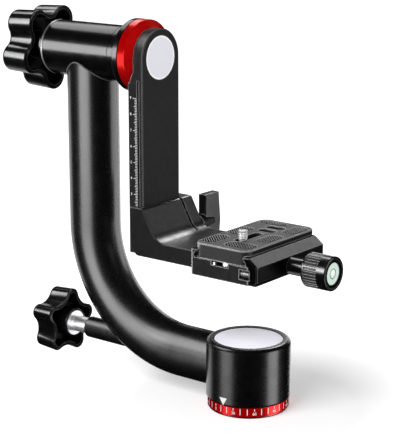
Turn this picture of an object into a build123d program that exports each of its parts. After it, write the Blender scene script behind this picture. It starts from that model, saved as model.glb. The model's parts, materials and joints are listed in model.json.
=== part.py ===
from build123d import *
from math import cos, pi, radians, sin, sqrt
import os

os.makedirs("parts", exist_ok=True)

# Gimbal tripod head, in millimetres.
# The origin is on the pan axis, on the seat that rests on the tripod. +Z is up, +X runs along
# the tilt axis from the arm to the rail, and +Y runs along the quick-release channel.

# ---- Fits ----
slide_gap = 0.05      # between faces and bores that slide or turn in each other
face_gap = 0.3        # between broad faces that turn past each other

# ---- Pan base and housing ----
housing_r = 26.0
housing_bottom = 7.3
housing_top = 43.4
cap_r = 21.1
cap_seat_z = 41.4
cap_thickness = 1.2
base_top = 7.0
flange_r = 24.5
flange_thickness = 1.2
ring_inner_r = 23.2
ring_outer_r = 25.1
socket_r = 4.76       # 3/8 inch tripod thread
socket_depth = 10.0

# ---- Ball bearings, the same four in the pan and the tilt ----
shaft_r = 7.5
bearing_r = 14.0
bearing_width = 7.0
ball_r = 2.0
ball_pitch_r = 10.75
ball_count = 11
inner_shoulder_r = 9.6
outer_shoulder_r = 11.9
bearing_lip_r = 12.2
middle_bore_r = 12.6
low_bearing_z = 10.5
high_bearing_z = 31.0

# ---- J-shaped arm ----
arm_r = 16.4
arm_bore_r = 13.5
arm_z = 24.3
arm_x = -123.9
arm_bend_r = 73.3

# ---- Pan lock ----
boss_r = 7.0
boss_outer_x = -130.0
boss_inner_x = -94.0
pan_rod_r = 4.0
pan_rod_thin_r = 3.0
shoe_r = 5.0
pan_knob_face_x = -148.0
pan_knob_length = 17.6
pan_knob_hollow = 11.5
pan_knob_star = (22.4, 16.4, 5.5, 8.5)   # tip radius, valley radius, lobe radius, turn in degrees

# ---- Tilt barrel and lock ----
tilt_z = 209.1
barrel_r = 17.5
barrel_end_x = -151.8
barrel_cap_x = -97.3
barrel_bearing_x = -145.8
flange_x = -88.7
tilt_flange_r = 22.7
ring_x = -84.4
ring_cone_x = -78.5
ring_front_x = -75.4
ring_front_r = 18.4
ring_bore_r = 16.0
washer_x = -153.05
tilt_stud_r = 4.0
tilt_washer_r = 17.2
tilt_knob_face_x = -158.1
tilt_knob_length = 21.8
tilt_knob_hollow = 14.0
tilt_knob_star = (28.4, 20.5, 9.0, 57.3)
knob_wall = 2.2
knob_draft = 1.2
knob_back_round = 3.0
knob_rim_round = 0.8

# ---- Swing rail ----
rail_half_width = 17.85
rail_front_x = -68.2
rail_back_x = -79.3
rail_bottom = 88.0
rail_step_z = 196.4
groove_front_x = -70.8
groove_back_x = -72.4
groove_depth = 1.6
disc_r = 13.5
disc_seat_x = -69.7

# ---- Carriage ----
carriage_front_x = -20.5
carriage_back_x = -76.8
carriage_top = 118.1
carriage_floor = 98.4
carriage_bottom = 87.6
carriage_side_y = -21.0
slit_near_y = 16.1
slit_far_y = 18.4
jaw_side_y = 28.3
jaw_front_x = -53.0
wing_x = -62.0
wing_z = 100.0
wing_stud_r = 2.5
jaw_pin_r = 1.5
jaw_pin_places = ((-65.0, 110.0), (-60.0, 91.6))

# ---- Quick-release clamp ----
clamp_near_y = -32.0
clamp_far_y = 37.0
clamp_mid_y = (clamp_near_y + clamp_far_y) / 2
clamp_floor = 98.5
clamp_joint_x = 22.0
plate_x = 1.45
plate_y = 4.4
clamp_stud_r = 3.0
clamp_knob_y = 3.0
clamp_knob_z = 93.4
guide_pin_r = 1.3
guide_pin_z = 93.8
end_pocket_depth = 6.0
tongue_thickness = 4.0

# ---- Quick-release plate ----
plate_width = 39.7
plate_length = 72.0
plate_corner_r = 6.5
plate_bottom = 98.6
plate_top = 107.6
slab_bottom = 104.2
dovetail_half = 19.0
neck_half = 17.0
pad_depth = 0.8
screw_r = 3.175       # 1/4 inch camera screw
screw_y = -9.0
screw_top = 113.1
screw_head_r = 5.0
screw_neck_r = 2.5

tilt_line = Axis((0, 0, tilt_z), (1, 0, 0))
tilt_plane = Plane((0, 0, tilt_z), x_dir=(0, 1, 0), z_dir=(1, 0, 0))
lock_plane = Plane((0, 0, arm_z), x_dir=(0, 1, 0), z_dir=(1, 0, 0))
clamp_plane = Plane((0, clamp_knob_y, clamp_knob_z), x_dir=(0, 1, 0), z_dir=(1, 0, 0))
wing_plane = Plane((wing_x, 0, wing_z), x_dir=(1, 0, 0), z_dir=(0, 1, 0))


# ---- Shapes that repeat ----
def along_x(y, z):
    return Plane((0, y, z), x_dir=(0, 1, 0), z_dir=(1, 0, 0))


def along_y(x, z):
    return Plane((x, 0, z), x_dir=(1, 0, 0), z_dir=(0, 1, 0))


def along_z(x, y):
    return Plane((x, y, 0), x_dir=(1, 0, 0), z_dir=(0, 0, 1))


def turned(plane, start, end, outer_r, inner_r=0.0, mode=Mode.ADD):
    """A cylinder or a ring whose axis is the plane's normal."""
    with BuildSketch(plane.offset(start)) as face:
        Circle(outer_r)
        if inner_r > 0:
            Circle(inner_r, mode=Mode.SUBTRACT)
    extrude(face.sketch, amount=end - start, mode=mode)


def hexagonal(plane, start, end, corner_r, mode=Mode.ADD):
    with BuildSketch(plane.offset(start)) as face:
        RegularPolygon(corner_r, 6)
    extrude(face.sketch, amount=end - start, mode=mode)


def two_flats(plane, start, end, radius, half_flats, mode=Mode.ADD):
    """A round neck with two flats, which keys a washer to its shaft."""
    with BuildSketch(plane.offset(start)) as face:
        Circle(radius)
        Rectangle(2 * radius, 2 * half_flats, mode=Mode.INTERSECT)
    extrude(face.sketch, amount=end - start, mode=mode)


def block(x_span, y_span, z_span, mode=Mode.ADD):
    middle = (sum(x_span) / 2, sum(y_span) / 2, sum(z_span) / 2)
    size = [span[1] - span[0] for span in (x_span, y_span, z_span)]
    with Locations(middle):
        Box(*size, mode=mode)


def prism_along_y(points, y_start, y_end, mode=Mode.ADD):
    """An outline of (x, z) points carried from one y to another."""
    with BuildSketch(Plane.XZ.offset(-y_start)) as face:
        with BuildLine():
            Polyline(*points, close=True)
        make_face()
    extrude(face.sketch, amount=y_start - y_end, mode=mode)


def round_edges(part, axis, place, radius, amount):
    """Rounds the circular edges of one radius whose centre is at a place along an axis."""
    circles = part.edges().filter_by(GeomType.CIRCLE).filter_by_position(axis, place - 0.01, place + 0.01)
    fillet(circles.filter_by(lambda edge: abs(edge.radius - radius) < 0.01), amount)


def cap_screw(plane, head_at, tip_at, head_r, head_height, shank_r):
    """A socket-head screw along the plane's normal, from its head's face to its tip."""
    way = 1 if tip_at > head_at else -1
    turned(plane, head_at, head_at + way * head_height, head_r)
    turned(plane, head_at + way * head_height, tip_at, shank_r)
    hexagonal(plane, head_at, head_at + way * head_height * 0.6, head_r * 0.5, Mode.SUBTRACT)


def screw_hole(plane, head_at, tip_at, head_r, head_height, shank_r):
    way = 1 if tip_at > head_at else -1
    turned(plane, head_at - way, head_at + way * head_height, head_r, mode=Mode.SUBTRACT)
    turned(plane, head_at + way * head_height, tip_at, shank_r, mode=Mode.SUBTRACT)


def race(plane, start, inner_r, outer_r):
    """One ring of a ball bearing, with the groove that its balls run in."""
    middle = start + bearing_width / 2
    side = Plane(plane.origin, x_dir=plane.z_dir, z_dir=plane.y_dir)
    with BuildSketch(side) as section:
        with Locations((middle, (inner_r + outer_r) / 2)):
            Rectangle(bearing_width, outer_r - inner_r)
        with Locations((middle, ball_pitch_r)):
            Circle(ball_r + slide_gap, mode=Mode.SUBTRACT)
    revolve(section.sketch, axis=Axis(plane.origin, plane.z_dir))


def balls(plane, start):
    middle = start + bearing_width / 2
    for index in range(ball_count):
        turn = 2 * pi * index / ball_count
        local = Vector(ball_pitch_r * cos(turn), ball_pitch_r * sin(turn), middle)
        with Locations(plane.from_local_coords(local)):
            Sphere(ball_r)


def star_face(plane, tip_r, valley_r, lobe_r, first_angle):
    """The outline of a five-lobed knob: round lobes joined by tangent hollows."""
    half = radians(36)
    lobe_centre_r = tip_r - lobe_r
    over = lobe_r**2 - lobe_centre_r**2 - valley_r**2 + 2 * valley_r * lobe_centre_r * cos(half)
    hollow_r = over / (2 * (valley_r - lobe_centre_r * cos(half) - lobe_r))
    hollow_centre_r = valley_r + hollow_r

    def at(radius, angle):
        return Vector(radius * cos(angle), radius * sin(angle))

    def meeting(lobe_angle, side):
        lobe_centre = at(lobe_centre_r, lobe_angle)
        hollow_centre = at(hollow_centre_r, lobe_angle + side * half)
        return lobe_centre + (hollow_centre - lobe_centre) * (lobe_r / (lobe_r + hollow_r))

    with BuildSketch(plane) as outline:
        with BuildLine():
            for lobe in range(5):
                angle = radians(first_angle + 72 * lobe)
                following = radians(first_angle + 72 * (lobe + 1))
                ThreePointArc(meeting(angle, -1), at(tip_r, angle), meeting(angle, 1))
                ThreePointArc(meeting(angle, 1), at(valley_r, angle + half), meeting(following, -1))
        make_face()
    return outline.sketch


def star_shell(shell, plane, face_at, length, hollow_depth, star):
    """A star knob, narrower and rounded at the back, and hollow on the side of its shaft."""
    tip_r, valley_r, lobe_r, first_angle = star
    back_at = face_at - length
    front = star_face(plane.offset(face_at), *star)
    back = star_face(plane.offset(back_at), tip_r - knob_draft, valley_r - knob_draft, lobe_r, first_angle)
    loft([back, front], ruled=True)
    fillet(shell.edges().filter_by_position(Axis.X, back_at - 0.01, back_at + 0.01), knob_back_round)
    fillet(shell.edges().filter_by_position(Axis.X, face_at - 0.01, face_at + 0.01), knob_rim_round)
    with BuildSketch(plane.offset(face_at - hollow_depth)) as pocket:
        add(star_face(Plane.XY, tip_r - knob_draft, valley_r - knob_draft, lobe_r, first_angle))
        offset(amount=knob_draft / 2 - knob_wall)
    extrude(pocket.sketch, amount=hollow_depth + 1, mode=Mode.SUBTRACT)


def save(piece, name):
    piece.part.label = name
    export_step(piece.part, f"parts/{name}.step")


# ---- Base: stays on the tripod ----
base_screw_spots = [(11 * cos(pi / 4 + k * pi / 2), 11 * sin(pi / 4 + k * pi / 2)) for k in range(4)]
base_screw_sizes = (0.4, 9.0, 2.6, 2.2, 1.5)

with BuildPart() as pan_base:
    turned(Plane.XY, 0, flange_thickness, flange_r, shaft_r)
    turned(Plane.XY, flange_thickness, base_top, ring_inner_r, shaft_r)
    round_edges(pan_base, Axis.Z, 0, flange_r, 0.4)
    for spot in base_screw_spots:
        screw_hole(along_z(*spot), *base_screw_sizes)
save(pan_base, "pan_base")

with BuildPart() as degree_ring:
    turned(Plane.XY, flange_thickness, base_top - 0.1, ring_outer_r, ring_inner_r)
    round_edges(degree_ring, Axis.Z, base_top - 0.1, ring_outer_r, 0.4)
save(degree_ring, "degree_ring")

with BuildPart() as pan_spindle:
    turned(Plane.XY, 0, 40.6, shaft_r)
    turned(Plane.XY, base_top, 9.5, 13.4)
    turned(Plane.XY, 9.5, low_bearing_z, 9.2)
    turned(Plane.XY, 0, socket_depth, socket_r, mode=Mode.SUBTRACT)
    for spot in base_screw_spots:
        turned(along_z(*spot), base_top, 9.0, 1.5, mode=Mode.SUBTRACT)
save(pan_spindle, "pan_spindle")

with BuildPart() as base_screws:
    for spot in base_screw_spots:
        cap_screw(along_z(*spot), *base_screw_sizes)
save(base_screws, "base_screws")

with BuildPart() as pan_inner_races:
    for start in (low_bearing_z, high_bearing_z):
        race(Plane.XY, start, shaft_r, inner_shoulder_r)
save(pan_inner_races, "pan_inner_races")

with BuildPart() as pan_nut:
    hexagonal(Plane.XY, high_bearing_z + bearing_width, 40.4, 10.8)
    turned(Plane.XY, high_bearing_z + bearing_width, 40.4, shaft_r, mode=Mode.SUBTRACT)
save(pan_nut, "pan_nut")

# ---- Pan head: the housing, the arm and the tilt barrel ----
spigot_pocket_x = -18.0
spigot_neck_r = 10.0
spigot_screw_xs = (-44.0, -34.0)
spigot_screw_sizes = (8.2, 17.0, 2.4, 2.5, 2.0)

with BuildPart() as pan_housing:
    turned(Plane.XY, housing_bottom, housing_top, housing_r)
    round_edges(pan_housing, Axis.Z, housing_top, housing_r, 3.0)
    round_edges(pan_housing, Axis.Z, housing_bottom, housing_r, 0.9)
    turned(Plane.XY, housing_bottom, low_bearing_z + bearing_width, bearing_r, mode=Mode.SUBTRACT)
    turned(Plane.XY, low_bearing_z, high_bearing_z, middle_bore_r, mode=Mode.SUBTRACT)
    turned(Plane.XY, high_bearing_z, cap_seat_z, bearing_r, mode=Mode.SUBTRACT)
    turned(Plane.XY, cap_seat_z, housing_top, cap_r, mode=Mode.SUBTRACT)
    turned(lock_plane, -housing_r - 1, spigot_pocket_x, spigot_neck_r, mode=Mode.SUBTRACT)
    turned(lock_plane, spigot_pocket_x, -10, shoe_r + slide_gap, mode=Mode.SUBTRACT)
save(pan_housing, "pan_housing")

with BuildPart() as pan_cap_disc:
    turned(Plane.XY, cap_seat_z, cap_seat_z + cap_thickness, cap_r)
    round_edges(pan_cap_disc, Axis.Z, cap_seat_z + cap_thickness, cap_r, 0.3)
save(pan_cap_disc, "pan_cap_disc")

with BuildPart() as pan_outer_races:
    for start in (low_bearing_z, high_bearing_z):
        race(Plane.XY, start, outer_shoulder_r, bearing_r)
save(pan_outer_races, "pan_outer_races")

with BuildPart() as pan_bearing_balls:
    for start in (low_bearing_z, high_bearing_z):
        balls(Plane.XY, start)
save(pan_bearing_balls, "pan_bearing_balls")

with BuildPart() as arm_spigot:
    turned(lock_plane, -50, -housing_r, arm_bore_r)
    turned(lock_plane, -housing_r, spigot_pocket_x, spigot_neck_r)
    turned(lock_plane, -50, spigot_pocket_x, shoe_r + slide_gap, mode=Mode.SUBTRACT)
    for screw_x in spigot_screw_xs:
        turned(along_z(screw_x, 0), 0, 17.0, 2.0, mode=Mode.SUBTRACT)
save(arm_spigot, "arm_spigot")

with BuildPart() as arm_tube:
    bend_x = arm_x + arm_bend_r
    bend_z = arm_z + arm_bend_r
    halfway = arm_bend_r / sqrt(2)
    with BuildLine(Plane.XZ):
        Line((-20, arm_z), (bend_x, arm_z))
        ThreePointArc((bend_x, arm_z), (bend_x - halfway, bend_z - halfway), (arm_x, bend_z))
        Line((arm_x, bend_z), (arm_x, tilt_z))
    with BuildSketch(Plane((-20, 0, arm_z), x_dir=(0, 1, 0), z_dir=(-1, 0, 0))):
        Circle(arm_r)
        Circle(arm_bore_r, mode=Mode.SUBTRACT)
    sweep()
    turned(Plane.XY, 0, 2 * arm_z, housing_r, mode=Mode.SUBTRACT)
    turned(tilt_plane, barrel_end_x, barrel_cap_x, barrel_r, mode=Mode.SUBTRACT)
    turned(lock_plane, boss_outer_x - 5, -85, boss_r, mode=Mode.SUBTRACT)
    for screw_x in spigot_screw_xs:
        turned(along_z(screw_x, 0), 0, 17.0, 2.4, mode=Mode.SUBTRACT)
save(arm_tube, "arm_tube")

with BuildPart() as spigot_screws:
    for screw_x in spigot_screw_xs:
        cap_screw(along_z(screw_x, 0), *spigot_screw_sizes)
save(spigot_screws, "spigot_screws")

insert_r = 5.5
insert_inner_x = -113.0

with BuildPart() as pan_lock_boss:
    turned(lock_plane, boss_outer_x, boss_inner_x, boss_r)
    round_edges(pan_lock_boss, Axis.X, boss_outer_x, boss_r, 0.8)
    turned(lock_plane, boss_outer_x, insert_inner_x, insert_r, mode=Mode.SUBTRACT)
    turned(lock_plane, boss_outer_x, boss_inner_x, pan_rod_r + 0.4, mode=Mode.SUBTRACT)
save(pan_lock_boss, "pan_lock_boss")

with BuildPart() as pan_lock_insert:
    turned(lock_plane, boss_outer_x + 0.5, insert_inner_x, insert_r, pan_rod_r + slide_gap)
save(pan_lock_insert, "pan_lock_insert")

with BuildPart() as tilt_barrel:
    turned(tilt_plane, barrel_end_x, barrel_cap_x, barrel_r, middle_bore_r)
    turned(tilt_plane, barrel_end_x, barrel_bearing_x + bearing_width, bearing_r, mode=Mode.SUBTRACT)
    round_edges(tilt_barrel, Axis.X, barrel_end_x, barrel_r, 0.6)
save(tilt_barrel, "tilt_barrel")

with BuildPart() as barrel_end_ring:
    turned(tilt_plane, barrel_end_x - 1.2, barrel_end_x, barrel_r, bearing_lip_r)
    turned(tilt_plane, barrel_end_x, barrel_bearing_x, bearing_r, bearing_lip_r)
    round_edges(barrel_end_ring, Axis.X, barrel_end_x - 1.2, barrel_r, 0.5)
save(barrel_end_ring, "barrel_end_ring")

with BuildPart() as bearing_cap:
    turned(tilt_plane, barrel_cap_x, flange_x, barrel_r, bearing_lip_r)
    turned(tilt_plane, barrel_cap_x, barrel_cap_x + bearing_width, bearing_r, mode=Mode.SUBTRACT)
    round_edges(bearing_cap, Axis.X, barrel_cap_x, barrel_r, 0.5)
save(bearing_cap, "bearing_cap")

with BuildPart() as tilt_flange:
    turned(tilt_plane, flange_x, ring_x - face_gap, tilt_flange_r, inner_shoulder_r)
    round_edges(tilt_flange, Axis.X, flange_x, tilt_flange_r, 0.6)
save(tilt_flange, "tilt_flange")

with BuildPart() as tilt_outer_races:
    for start in (barrel_bearing_x, barrel_cap_x):
        race(tilt_plane, start, outer_shoulder_r, bearing_r)
save(tilt_outer_races, "tilt_outer_races")

with BuildPart() as tilt_bearing_balls:
    for start in (barrel_bearing_x, barrel_cap_x):
        balls(tilt_plane, start)
save(tilt_bearing_balls, "tilt_bearing_balls")

# ---- Pan lock: a shoe, pushed against the spindle by a rod inside the arm ----
shoe_tail_x = -17.0

with BuildPart() as pan_lock_shoe:
    turned(lock_plane, shoe_tail_x, -5, shoe_r)
    turned(Plane.XY, arm_z - 10, arm_z + 10, shaft_r + slide_gap, mode=Mode.SUBTRACT)
save(pan_lock_shoe, "pan_lock_shoe")

pan_hub_r = 9.6
pan_hub_x = pan_knob_face_x + 4.4
pan_washer_r = 8.2
pan_rod_back_x = pan_knob_face_x - 12
pan_collar_r = 5.3
pan_collar_end_x = boss_outer_x - 0.3

with BuildPart() as pan_lock_knob:
    star_shell(pan_lock_knob, lock_plane, pan_knob_face_x, pan_knob_length, pan_knob_hollow, pan_knob_star)
    turned(lock_plane, pan_rod_back_x, pan_hub_x, pan_hub_r)
    round_edges(pan_lock_knob, Axis.X, pan_hub_x, pan_hub_r, 0.6)
    turned(lock_plane, pan_hub_x - 1, pan_hub_x, pan_washer_r, mode=Mode.SUBTRACT)
    turned(lock_plane, pan_rod_back_x, pan_hub_x, pan_rod_r, mode=Mode.SUBTRACT)
save(pan_lock_knob, "pan_lock_knob")

with BuildPart() as pan_lock_washer:
    turned(lock_plane, pan_hub_x - 1, pan_hub_x + 0.1, pan_washer_r, pan_rod_r)
save(pan_lock_washer, "pan_lock_washer")

with BuildPart() as pan_lock_rod:
    turned(lock_plane, pan_rod_back_x, insert_inner_x + 1, pan_rod_r)
    turned(lock_plane, pan_hub_x + 0.1, pan_collar_end_x, pan_collar_r)
    round_edges(pan_lock_rod, Axis.X, pan_collar_end_x, pan_collar_r, 0.4)
    turned(lock_plane, insert_inner_x + 1, shoe_tail_x - slide_gap, pan_rod_thin_r)
save(pan_lock_rod, "pan_lock_rod")

# ---- Swing: everything that turns with the tilt spindle ----
spindle_end_x = -152.9
neck_end_x = -158.2
neck_r = 6.0
neck_half_flats = 4.5
circlip_x = -147.1
circlip_end_x = barrel_bearing_x - 0.1
rail_screw_spots = [(9 * cos(pi / 4 + k * pi / 2), 9 * sin(pi / 4 + k * pi / 2)) for k in range(4)]
rail_screw_sizes = (disc_seat_x - 0.2, -82.0, 3.4, 2.8, 2.0)


def rail_screw_plane(spot):
    return along_x(spot[0], tilt_z + spot[1])


with BuildPart() as tilt_spindle:
    turned(tilt_plane, spindle_end_x, ring_x, shaft_r)
    turned(tilt_plane, barrel_cap_x + bearing_width, ring_x, 9.3)
    turned(tilt_plane, ring_x, ring_front_x, ring_bore_r)
    two_flats(tilt_plane, neck_end_x, spindle_end_x, neck_r, neck_half_flats)
    turned(tilt_plane, neck_end_x, -126, tilt_stud_r + slide_gap, mode=Mode.SUBTRACT)
    turned(tilt_plane, circlip_x, circlip_end_x, shaft_r + 1, shaft_r - 0.6, Mode.SUBTRACT)
    for spot in rail_screw_spots:
        turned(rail_screw_plane(spot), -82, ring_front_x, 2.0, mode=Mode.SUBTRACT)
save(tilt_spindle, "tilt_spindle")

with BuildPart() as tilt_circlip:
    turned(tilt_plane, circlip_x, circlip_end_x, inner_shoulder_r, shaft_r - 0.6)
    block((circlip_x, circlip_end_x), (-2, 2), (tilt_z, tilt_z + 12), Mode.SUBTRACT)
save(tilt_circlip, "tilt_circlip")

with BuildPart() as tilt_inner_races:
    for start in (barrel_bearing_x, barrel_cap_x):
        race(tilt_plane, start, shaft_r, inner_shoulder_r)
save(tilt_inner_races, "tilt_inner_races")


def ring_body(clearance, mode=Mode.ADD):
    """The red ring: a cylinder that narrows in a cone towards the rail."""
    with BuildSketch(Plane.XZ) as section:
        with BuildLine():
            Polyline(
                (ring_x, tilt_z + ring_bore_r),
                (ring_x, tilt_z + tilt_flange_r + clearance),
                (ring_cone_x + clearance, tilt_z + tilt_flange_r + clearance),
                (ring_front_x, tilt_z + ring_front_r + clearance),
                (ring_front_x, tilt_z + ring_bore_r),
                close=True,
            )
        make_face()
    revolve(section.sketch, axis=tilt_line, mode=mode)


with BuildPart() as tilt_ring:
    ring_body(0.0)
    round_edges(tilt_ring, Axis.X, ring_x, tilt_flange_r, 0.6)
    round_edges(tilt_ring, Axis.X, ring_cone_x, tilt_flange_r, 0.8)
save(tilt_ring, "tilt_ring")

stop_screw_z = 90.2
stop_screw_r = 2.5

with BuildPart() as swing_rail:
    turned(tilt_plane, ring_front_x, rail_front_x, rail_half_width)
    block((ring_front_x, rail_front_x), (-rail_half_width, rail_half_width), (rail_bottom, tilt_z))
    front_edges = swing_rail.edges().filter_by_position(Axis.X, rail_front_x - 0.01, rail_front_x + 0.01)
    chamfer(front_edges, 0.5)
    back_outline = (
        (rail_back_x, rail_bottom),
        (rail_back_x, rail_step_z),
        (ring_front_x, rail_step_z + 4.7),
        (ring_front_x, rail_bottom),
    )
    prism_along_y(back_outline, -rail_half_width, rail_half_width)
    ring_body(0.1, Mode.SUBTRACT)
    turned(tilt_plane, rail_back_x - 1, ring_front_x, ring_bore_r + 1, mode=Mode.SUBTRACT)
    for side in (-1, 1):
        groove = sorted((side * rail_half_width, side * (rail_half_width - groove_depth)))
        block((groove_back_x, groove_front_x), groove, (rail_bottom, rail_step_z), Mode.SUBTRACT)
    turned(tilt_plane, disc_seat_x, rail_front_x, disc_r, mode=Mode.SUBTRACT)
    for spot in rail_screw_spots:
        screw_hole(rail_screw_plane(spot), *rail_screw_sizes)
    turned(along_x(0, stop_screw_z), -74, rail_front_x, 1.25, mode=Mode.SUBTRACT)
save(swing_rail, "swing_rail")

with BuildPart() as rail_head_screws:
    for spot in rail_screw_spots:
        cap_screw(rail_screw_plane(spot), *rail_screw_sizes)
save(rail_head_screws, "rail_head_screws")

with BuildPart() as rail_cap_disc:
    turned(tilt_plane, disc_seat_x, rail_front_x - 0.1, disc_r)
    round_edges(rail_cap_disc, Axis.X, rail_front_x - 0.1, disc_r, 0.3)
save(rail_cap_disc, "rail_cap_disc")

with BuildPart() as rail_stop_screw:
    cap_screw(along_x(0, stop_screw_z), rail_front_x + 1.6, -74, stop_screw_r, 1.6, 1.25)
save(rail_stop_screw, "rail_stop_screw")

# ---- Tilt lock: a keyed washer, and the knob that presses it on the barrel ----
tilt_hub_x = washer_x - 2.0
tilt_hub_r = 9.0
tilt_stud_back_x = -176.0

with BuildPart() as tilt_lock_washer:
    turned(tilt_plane, tilt_hub_x + slide_gap, washer_x, tilt_washer_r)
    round_edges(tilt_lock_washer, Axis.X, tilt_hub_x + slide_gap, tilt_washer_r, 0.4)
    two_flats(tilt_plane, tilt_hub_x, washer_x, neck_r + slide_gap, neck_half_flats + slide_gap, Mode.SUBTRACT)
save(tilt_lock_washer, "tilt_lock_washer")

with BuildPart() as tilt_lock_knob:
    star_shell(tilt_lock_knob, tilt_plane, tilt_knob_face_x, tilt_knob_length, tilt_knob_hollow, tilt_knob_star)
    turned(tilt_plane, tilt_stud_back_x, tilt_hub_x, tilt_hub_r)
    turned(tilt_plane, neck_end_x - 1.2, tilt_hub_x, neck_r + 0.3, mode=Mode.SUBTRACT)
    turned(tilt_plane, tilt_stud_back_x, tilt_hub_x, tilt_stud_r, mode=Mode.SUBTRACT)
save(tilt_lock_knob, "tilt_lock_knob")

with BuildPart() as tilt_lock_stud:
    turned(tilt_plane, tilt_stud_back_x, -128, tilt_stud_r)
save(tilt_lock_stud, "tilt_lock_stud")

# ---- Carriage: the bracket that slides on the rail and carries the clamp ----
lip_x_span = (groove_back_x + 0.1, groove_front_x - 0.1)
lip_z_span = (carriage_bottom + 1, carriage_top - 1)
lip_reach = rail_half_width - 1.5
tongue_x_span = (carriage_front_x, 6.0)
tongue_y_span = (clamp_mid_y - 12, clamp_mid_y + 12)
tongue_z_span = (carriage_bottom, carriage_bottom + tongue_thickness)
tongue_screw_spots = [(x, clamp_mid_y + y) for x in (-13.0, -1.0) for y in (-7.5, 7.5)]
tongue_screw_sizes = (carriage_bottom + 0.2, 95.2, 3.2, 2.2, 2.0)
brow_x = -66.3
brow_round = 2.2
foot_x = -55.6
foot_round = 12.0
heel_x = -71.7
heel_rise = 5.5
heel_round = 3.0


def bracket_body(y_start, y_end):
    """The bracket's side view: a tall back, a sloping gusset with a round foot, and a slab."""
    with BuildSketch(Plane.XZ.offset(-y_start)) as face:
        with BuildLine():
            Polyline(
                (carriage_back_x, carriage_top),
                (brow_x, carriage_top),
                (foot_x, carriage_floor),
                (carriage_front_x, carriage_floor),
                (carriage_front_x, carriage_bottom),
                (heel_x, carriage_bottom),
                (carriage_back_x, carriage_bottom + heel_rise),
                close=True,
            )
        make_face()
        heel = [corner for corner in face.vertices() if abs(corner.X - heel_x) < 0.01]
        fillet(heel, heel_round)
        foot = [corner for corner in face.vertices() if abs(corner.X - foot_x) < 0.01]
        fillet(foot, foot_round)
        brow = face.vertices().group_by(Axis.Y)[-1].sort_by(Axis.X)[-1]
        fillet(brow, brow_round)
    extrude(face.sketch, amount=y_start - y_end)


with BuildPart() as carriage_bracket:
    bracket_body(carriage_side_y, jaw_side_y)
    side_edges = carriage_bracket.edges().filter_by_position(
        Axis.Y, carriage_side_y - 0.01, carriage_side_y + 0.01
    )
    fillet(side_edges, 0.7)
    block((-80, jaw_front_x + 0.5), (slit_near_y, 30), (80, 125), Mode.SUBTRACT)
    block((-80, rail_front_x + slide_gap), (-rail_half_width - slide_gap, 20), (80, 125), Mode.SUBTRACT)
    block(lip_x_span, (-rail_half_width - slide_gap, -lip_reach), lip_z_span)
    block((rail_front_x, brow_x), (-2.65, 2.65), (80, stop_screw_z + 2.7), Mode.SUBTRACT)
    block(tongue_x_span, tongue_y_span, tongue_z_span)
    turned(wing_plane, -6, slit_near_y, wing_stud_r + slide_gap, mode=Mode.SUBTRACT)
    for place in jaw_pin_places:
        turned(along_y(*place), 6, slit_near_y, jaw_pin_r, mode=Mode.SUBTRACT)
    for spot in tongue_screw_spots:
        screw_hole(along_z(*spot), *tongue_screw_sizes)
save(carriage_bracket, "carriage_bracket")

with BuildPart() as jaw_guide_pins:
    for place in jaw_pin_places:
        turned(along_y(*place), 6, 24, jaw_pin_r)
save(jaw_guide_pins, "jaw_guide_pins")

with BuildPart() as carriage_jaw:
    bracket_body(slit_far_y, jaw_side_y)
    block((jaw_front_x, 0), (slit_far_y, jaw_side_y), (80, 125), Mode.SUBTRACT)
    far_edges = carriage_jaw.edges().filter_by_position(Axis.Y, jaw_side_y - 0.01, jaw_side_y + 0.01)
    fillet(far_edges, 1.2)
    block(lip_x_span, (lip_reach, slit_far_y + 1), lip_z_span)
    turned(wing_plane, slit_far_y, jaw_side_y, wing_stud_r + 0.4, mode=Mode.SUBTRACT)
    for place in jaw_pin_places:
        turned(along_y(*place), slit_far_y, 26, jaw_pin_r + slide_gap, mode=Mode.SUBTRACT)
save(carriage_jaw, "carriage_jaw")

wing_hub_y = jaw_side_y + 0.1
wing_inner_y = 33.4
wing_tip_y = 47.2
wing_middle_y = 49.0
wing_hub_end_y = 42.4
wing_half_height = 18.0
wing_half_thickness = 3.25
wing_stud_end_y = 39.0

with BuildPart() as wing_knob:
    with BuildSketch(Plane.YZ.offset(wing_x - wing_half_thickness)) as wings:
        with BuildLine():
            Polyline(
                (wing_inner_y, wing_z - wing_half_height),
                (wing_inner_y, wing_z + wing_half_height),
                (wing_tip_y, wing_z + wing_half_height),
                (wing_middle_y, wing_z),
                (wing_tip_y, wing_z - wing_half_height),
                close=True,
            )
        make_face()
        fillet([corner for corner in wings.vertices() if abs(corner.Y - wing_tip_y) < 0.01], 2.5)
    extrude(wings.sketch, amount=2 * wing_half_thickness)
    for side in (-1, 1):
        flat_at = wing_x + side * wing_half_thickness
        fillet(wing_knob.edges().filter_by_position(Axis.X, flat_at - 0.01, flat_at + 0.01), 0.9)
    with BuildSketch(wing_plane.offset(wing_hub_y)) as hub_foot:
        Circle(5.6)
    with BuildSketch(wing_plane.offset(wing_hub_end_y)) as hub_end:
        Circle(3.9)
    loft([hub_foot.sketch, hub_end.sketch])
    round_edges(wing_knob, Axis.Y, wing_hub_end_y, 3.9, 0.4)
    turned(wing_plane, wing_hub_y, wing_stud_end_y, wing_stud_r, mode=Mode.SUBTRACT)
save(wing_knob, "wing_knob")

with BuildPart() as wing_stud:
    turned(wing_plane, -5, wing_stud_end_y, wing_stud_r)
save(wing_stud, "wing_stud")

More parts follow.
